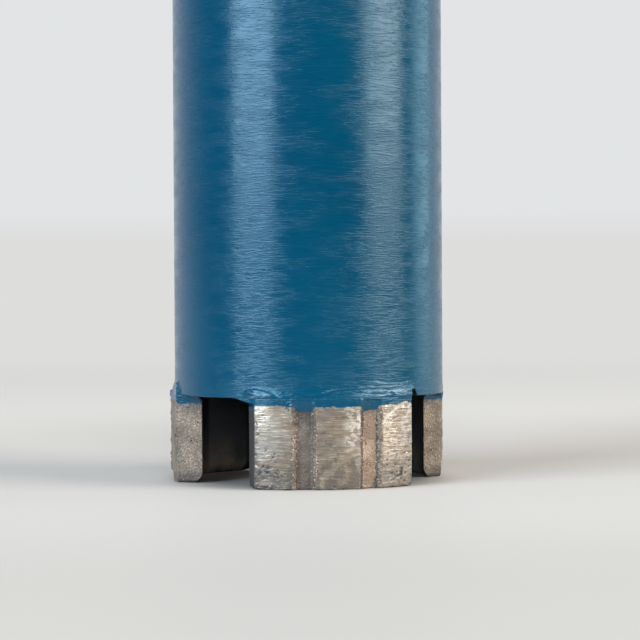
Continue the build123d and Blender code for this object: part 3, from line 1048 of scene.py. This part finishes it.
def make_barrel(paint, bore):
    """The barrel and its welds as one skin: up the outside from the rim, over the hidden top end,
    down the bore and back along the rim's underside. Rows crowd at the welds."""
    angle = full_turn(AROUND)
    rim = rim_height(angle)
    rise = np.concatenate([np.arange(0, 2.3, 0.05), np.arange(2.3, 3.9, 0.1),
                           np.geomspace(4.0, 143.5, 14)])[:, None]
    height = SEGMENT_TOP + rise + (rim - SEGMENT_TOP) * (1 - step(rise, 0.0, 3.2))
    outer = BARREL_RADIUS + barrel_relief(angle, height)
    outer = outer - 0.12 * step(rise, 0.14, 0.0) ** 2
    outer = outer + 0.006 * rough(cylinder_points(outer, angle, height), (7, 7, 0.8), 71, 2)

    top_radius = np.array([[BARREL_RADIUS - WELD_BEVEL], [BORE_RADIUS]])
    bore_height = np.concatenate([np.linspace(BARREL_TOP - 0.5, 20, 10),
                                  np.linspace(18, SEGMENT_TOP + 0.15, 10)])[:, None]
    bore_points = cylinder_points(BORE_RADIUS, angle, bore_height)
    across = np.linspace(0, 1, UNDER_ROWS)[:, None]
    under_radius = np.linspace(BORE_RADIUS + 0.1, BARREL_RADIUS - 0.15, UNDER_ROWS)[:, None]
    blocks = [(outer, height), (top_radius, np.full((2, 1), BARREL_TOP)),
              (BORE_RADIUS + 0.02 * rough(bore_points, 3.0, 83, 2), bore_height),
              (under_radius, SEGMENT_TOP + (rim - SEGMENT_TOP) * across ** 2)]
    radius, level = (np.concatenate([block[k] * np.ones((1, AROUND)) for block in blocks])
                     for k in (0, 1))

    row = np.arange(len(radius))[:, None]
    # The notch's faces take the bore's steel and are painted near black: painted shade
    notched = notch_share(from_middle(angle, SEGMENT_ANGLES[0])) > 0.05
    underside = row >= len(radius) - UNDER_ROWS
    face_material = np.where((row < len(outer) + 1) | (underside & ~notched), 0, 1)
    overspray = step(level, SEGMENT_TOP + 3.5, SEGMENT_TOP - 0.5)
    # Pale strokes on the welds: part scuffs, part painted highlights
    masks = {"bare": 0.0, "overspray": 0.6 * overspray * ~notched, "notch_shade": 0.9 * notched,
             "scuff_and_highlight": 0.75 * scuff_and_highlight_mask(angle, level)}
    piece = make_skin("painted_barrel", radius, angle, level, [paint, bore], masks,
                      face_material.reshape(-1))
    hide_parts("barrel_tube", "weld_seam_1", "weld_seam_2", "weld_seam_3")


# --- Hub ---

CURVE_STEPS = 4  # points on each rounded corner
FLAT_STEP = 0.05  # half the height over which the neck steps back to the flats


def rounded(corners, rounding):
    """A closed outline of (radius, height) corners, each turned into a short curve that leaves and
    joins its sides at the rounding's distance, or just under half the side if that is less: the
    start, the corner and the end, weighed by (1 - t) squared, 2 t (1 - t) and t squared."""
    corners = np.asarray(corners, float)
    before, after = np.roll(corners, 1, axis=0) - corners, np.roll(corners, -1, axis=0) - corners
    long_before, long_after = (np.linalg.norm(v, axis=1, keepdims=True) for v in (before, after))
    start = corners + before / long_before * np.minimum(rounding, long_before * 0.45)
    end = corners + after / long_after * np.minimum(rounding, long_after * 0.45)
    t = np.linspace(0, 1, CURVE_STEPS)[None, :, None]
    curve = ((1 - t) ** 2 * start[:, None] + 2 * t * (1 - t) * corners[:, None]
             + t ** 2 * end[:, None])
    return curve.reshape(-1, 2)


def hub_profile():
    """The hub's closed outline as (radius, height), and which of its points are the thread's: up
    the outside from the spigot to the mouth, down the thread, and down the waterway."""
    outline = rounded([
        (WATERWAY_RADIUS + WATERWAY_FLARE, HUB_FOOT), (BORE_RADIUS - SPIGOT_GAP, HUB_FOOT),
        (BORE_RADIUS - SPIGOT_GAP, BARREL_TOP), (BARREL_RADIUS - WELD_BEVEL, BARREL_TOP),
        (BARREL_RADIUS, BARREL_TOP + WELD_BEVEL), (BARREL_RADIUS, SHOULDER_TOP - CHAMFER),
        (BARREL_RADIUS - CHAMFER, SHOULDER_TOP), (NECK_RADIUS + NECK_BLEND, SHOULDER_TOP),
        (NECK_RADIUS, SHOULDER_TOP + NECK_BLEND), (NECK_RADIUS, FLAT_FOOT),
    ], 0.25)[:-CURVE_STEPS]
    flat_step = [(NECK_RADIUS, FLAT_FOOT - FLAT_STEP), (NECK_RADIUS, FLAT_FOOT + FLAT_STEP)]
    neck = rounded([(NECK_RADIUS, FLAT_FOOT), (NECK_RADIUS, HUB_TOP - CHAMFER),
                    (NECK_RADIUS - CHAMFER, HUB_TOP), (MOUTH_RADIUS, HUB_TOP)], 0.2)[CURVE_STEPS:]
    thread_height = np.linspace(HUB_TOP - 0.15, THREAD_BOTTOM, 200)
    mouth_depth = MOUTH_RADIUS - THREAD_MINOR
    cone = THREAD_MINOR + np.clip(mouth_depth - (HUB_TOP - thread_height), 0, None)
    thread = np.stack([cone, thread_height], axis=1)
    undercut_foot = THREAD_BOTTOM - UNDERCUT_HEIGHT
    foot = [(UNDERCUT_RADIUS, THREAD_BOTTOM - 0.1), (UNDERCUT_RADIUS, undercut_foot),
            (WATERWAY_RADIUS, undercut_foot - 0.05), (WATERWAY_RADIUS, HUB_FOOT + WATERWAY_FLARE)]
    parts = [outline, flat_step, neck, thread, foot]
    return np.concatenate(parts), np.repeat(np.arange(5) == 3, [len(part) for part in parts])


def make_hub(paint):
    """The hub: its outline turned about Z, the neck cut back to two spanner flats, and the bore
    cut by a thread whose depth follows the height over the pitch less the angle over a turn."""
    profile, in_thread = hub_profile()
    angle = full_turn(HUB_AROUND)
    radius, height = (profile[:, k:k + 1] * np.ones((1, HUB_AROUND)) for k in (0, 1))
    flat = FLAT_HALF_SIZE / np.maximum(np.abs(np.cos(angle)), 0.1)
    outside = (height > FLAT_FOOT) & (radius > MOUTH_RADIUS + 0.5)
    radius = np.where(outside, np.minimum(radius, flat), radius)

    turns = (height / THREAD_PITCH - angle / TURN) % 1.0
    tooth = smooth(1.25 - 2.7 * np.abs(turns - 0.5))
    lead = step(height, HUB_TOP - 0.1, HUB_TOP - 0.8)
    cut = THREAD_MINOR + (THREAD_MAJOR - THREAD_MINOR) * tooth * lead
    radius = np.where(in_thread[:, None], np.maximum(radius, cut), radius)

    mouth = np.argmax(in_thread) - CURVE_STEPS + 1  # on the corner where the bore opens
    in_bore = (np.arange(len(profile)) >= mouth)[:, None]
    bare = np.maximum(in_bore, step(height, HUB_TOP - 0.35, HUB_TOP - 0.1))
    piece = make_skin("threaded_hub", radius, angle, height, [paint], {"bare": bare})
    piece.data.set_sharp_from_angle(angle=math.radians(32))
    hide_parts("drive_hub")


def make_hub_weld(paint):
    """The dressed weld band: a low crown round the joint with slight ripples along it, closed by
    one row within the metal."""
    angle = full_turn(WELD_BAND_AROUND)
    across = np.linspace(-1, 1, WELD_BAND_ROWS)[:, None]
    ripple = rough(cylinder_points(BARREL_RADIUS, angle, across * 1.2), (1.1, 1.1, 1.6), 91, 3)
    crown = 0.2 * (1 - across ** 4) + 0.05 * ripple * (1 - across ** 2)
    within = np.full((1, WELD_BAND_AROUND), BARREL_RADIUS - 0.8)
    radius = np.concatenate([BARREL_RADIUS - 0.02 + crown, within])
    height = np.concatenate([BARREL_TOP + across * 1.15, [[BARREL_TOP]]])
    piece = make_skin("hub_weld_band", radius, angle, height, [paint], {"bare": 0.0})
    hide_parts("hub_weld")


# --- Floor and background ---

CAMERA_DISTANCE = 326.5  # to the bit's axis
CAMERA_HEIGHT = 28.3
CAMERA_TURN = math.radians(-12.1)  # round the bit, from its front to the camera
PIXELS_AWAY = 2220.0  # the distance in pixels of the square frame
FRAME_PIXELS = 640.0
AXIS_COLUMN = 308.4  # where the axis crosses the frame's middle row
HORIZON_ROW = 286.0
LEAN = math.radians(0.31)

WALL_TONE = rgb(0.76, 0.775, 0.79)
FLOOR_TONE = rgb(0.725, 0.725, 0.715)
ROOM_TONE = rgb(0.02, 0.02, 0.02)
SKY_TONE = rgb(0.96, 0.98, 1.0)
SWEEP_EDGE = (0.018, 0.036)  # heights of the view's direction between which the floor ends
FLOOR_DARK, FLOOR_LIGHT = rgb(0.53, 0.5, 0.475), rgb(0.6, 0.572, 0.548)
# Painted shade towards the camera and painted light behind the bit
FLOOR_NEAR_SHADE, FLOOR_BEHIND_LIGHT = rgb(0.505, 0.48, 0.457), rgb(0.645, 0.615, 0.59)
# Painted shadow under the bit
SHADOW_UNDER_BIT = rgb(0.13, 0.13, 0.13)


def behind_share(tree, direction, start, end):
    """Goes from 0 to 1 as a direction turns from the camera's side to behind the bit."""
    behind = maths(tree, "ADD", times(tree, part_of(tree, direction, "X"), -math.sin(CAMERA_TURN)),
                   times(tree, part_of(tree, direction, "Y"), math.cos(CAMERA_TURN)))
    return ramp(tree, behind, start, end)


def floor_material():
    """A pale floor, clear from below, with painted shade towards the camera, painted light behind
    the bit and a painted shadow under the bit. Far away it fades to the background's tone, and
    shiny surfaces see its far part on the camera's side as dim as the room."""
    material, tree, surface, place = new_material("pale_floor")
    away = vector_sum(tree, "LENGTH", place).outputs["Value"]
    outward = vector_sum(tree, "NORMALIZE", place).outputs["Vector"]
    colour = layered(
        tree, FLOOR_DARK, (cloud(tree, place, 7.0, 3.0), FLOOR_LIGHT),
        (behind_share(tree, place, -0.04, -0.12), FLOOR_NEAR_SHADE),
        (behind_share(tree, place, 0.06, 0.2), FLOOR_BEHIND_LIGHT),
        (ramp(tree, away, 0.024, 0.013, 0.0, 0.72), SHADOW_UNDER_BIT))
    shader = add_node(tree, "BsdfPrincipled", {"Base Color": colour, "Roughness": 0.6,
                                               "Specular IOR Level": 0.15}).outputs[0]
    rays = add_node(tree, "LightPath").outputs
    far = blend_value(tree, rays["Is Glossy Ray"], ramp(tree, away, 0.12, 0.6),
                      ramp(tree, away, 0.02, 0.16))
    direct = maths(tree, "MAXIMUM", rays["Is Camera Ray"], rays["Is Glossy Ray"])
    room = blend(tree, behind_share(tree, outward, -0.3, 0.5), ROOM_TONE, FLOOR_TONE)
    tone = blend(tree, rays["Is Glossy Ray"], FLOOR_TONE, room)
    haze = add_node(tree, "Emission", {"Color": tone, "Strength": 1.0}).outputs[0]
    faded = mix_shaders(tree, times(tree, far, direct), shader, haze)
    below = add_node(tree, "NewGeometry").outputs["Backfacing"]
    clear = add_node(tree, "BsdfTransparent").outputs[0]
    tree.links.new(mix_shaders(tree, below, faded, clear), surface)
    return material


def make_floor():
    """A wide disc under the bit, its rings wider the further out they are."""
    rings = np.concatenate([[0.0], np.geomspace(20.0, 6000.0, 40)])
    points = cylinder_points(rings[:, None], full_turn(FLOOR_AROUND), 0.0).reshape(-1, 3) * MM
    faces = grid_faces(len(rings), FLOOR_AROUND)[:, ::-1]
    mesh = bpy.data.meshes.new("floor")
    mesh.from_pydata(points.tolist(), [], faces.tolist())
    mesh.materials.append(floor_material())
    add_object("floor", mesh)


def make_world():
    """A pale background with a soft step just above the horizon, where the sweep of the floor
    ends. Shiny surfaces see it behind the bit and a dim room in front, and the rest of the
    light is an even sky."""
    world = bpy.data.worlds.new("studio")
    bpy.context.scene.world = world
    world.use_nodes = True
    tree = world.node_tree
    tree.nodes.clear()
    rays = add_node(tree, "LightPath").outputs
    direction = add_node(tree, "TexCoord").outputs["Generated"]
    sweep = ramp(tree, part_of(tree, direction, "Z"), *SWEEP_EDGE)
    room = behind_share(tree, direction, -0.1, 0.9)
    lit = [(blend(tree, sweep, FLOOR_TONE, WALL_TONE), 1.0),
           (blend(tree, room, ROOM_TONE, WALL_TONE), 1.0), (SKY_TONE, 0.15)]
    seen, mirrored, sky = (
        add_node(tree, "Background", {"Color": tone, "Strength": strength}).outputs[0]
        for tone, strength in lit)
    shiny = mix_shaders(tree, rays["Is Glossy Ray"], sky, mirrored)
    direct = maths(tree, "MAXIMUM", rays["Is Camera Ray"], rays["Is Transmission Ray"])
    add_node(tree, "OutputWorld", {"Surface": mix_shaders(tree, direct, shiny, seen)})


# --- Lamps and camera ---

LAMP_AIM = Vector((0, 0, 0.04))
COOL, WARM, ICY, WHITE = (0.74, 0.89, 1.0), (1.0, 0.94, 0.84), (0.62, 0.92, 1.0), (1.0, 1.0, 1.0)


def make_lamp(name, azimuth, distance, height, width, tall, power, colour):
    """A rectangular softbox that faces the bit's middle. Azimuth is in degrees from the camera's
    side, positive to the right. Sizes in metres, power in watts."""
    light = bpy.data.lights.new(name, "AREA")
    light.shape = "RECTANGLE"
    light.size, light.size_y = width, tall
    light.energy = power
    light.color = colour
    lamp = add_object(name, light)
    turn = CAMERA_TURN + math.radians(azimuth)
    lamp.location = Vector((distance * math.sin(turn), -distance * math.cos(turn), height))
    lamp.rotation_euler = (LAMP_AIM - lamp.location).to_track_quat("-Z", "Y").to_euler()
    lamp.visible_camera = False


def make_camera():
    """A long lens just above the floor. The horizon's row gives its pitch, the axis's column
    its small turn to the side, and the lean its roll."""
    data = bpy.data.cameras.new("camera")
    data.sensor_width = 36.0
    data.lens = data.sensor_width * PIXELS_AWAY / FRAME_PIXELS
    data.clip_start, data.clip_end = 0.01, 100.0
    camera = add_object("camera", data)
    place = Vector((CAMERA_DISTANCE * math.sin(CAMERA_TURN),
                    -CAMERA_DISTANCE * math.cos(CAMERA_TURN), CAMERA_HEIGHT)) * MM
    pan = CAMERA_TURN - math.atan((FRAME_PIXELS / 2 - AXIS_COLUMN) / PIXELS_AWAY)
    pitch = math.atan((FRAME_PIXELS / 2 - HORIZON_ROW) / PIXELS_AWAY)
    ahead = Vector((-math.sin(pan) * math.cos(pitch), math.cos(pan) * math.cos(pitch),
                    -math.sin(pitch)))
    upright = ahead.to_track_quat("-Z", "Y").to_matrix()
    rolled = upright @ Matrix.Rotation(-LEAN, 3, "Z")
    camera.matrix_world = Matrix.Translation(place) @ rolled.to_4x4()
    bpy.context.scene.camera = camera


# --- The scene ---

make_camera()
paint = barrel_paint_material()
bore = bore_material()
sinter = segment_material()
core_side = core_side_material()
grit = grit_material()

make_barrel(paint, bore)
for number in (1, 2, 3):
    surface = make_segment(number, [sinter, paint, core_side])
    make_grit(number, surface, grit)
make_hub(paint)
make_hub_weld(paint)

make_floor()
make_world()
# azimuth, distance, height, width, tall, power and colour
make_lamp("left_softbox", -47, 1.6, 0.7, 1.16, 1.2, 43.0, COOL)
make_lamp("right_softbox", 67.5, 1.6, 0.7, 1.1, 1.2, 35.5, WARM)
make_lamp("side_softbox", 113, 1.6, 0.3, 0.66, 0.6, 3.3, ICY)
make_lamp("front_softbox", 4, 0.9, 1.3, 0.45, 0.45, 7.0, WHITE)
make_lamp("overhead_softbox", 180, 0.1, 1.6, 1.2, 1.2, 5.0, WHITE)

bpy.context.scene.view_settings.view_transform = "Standard"
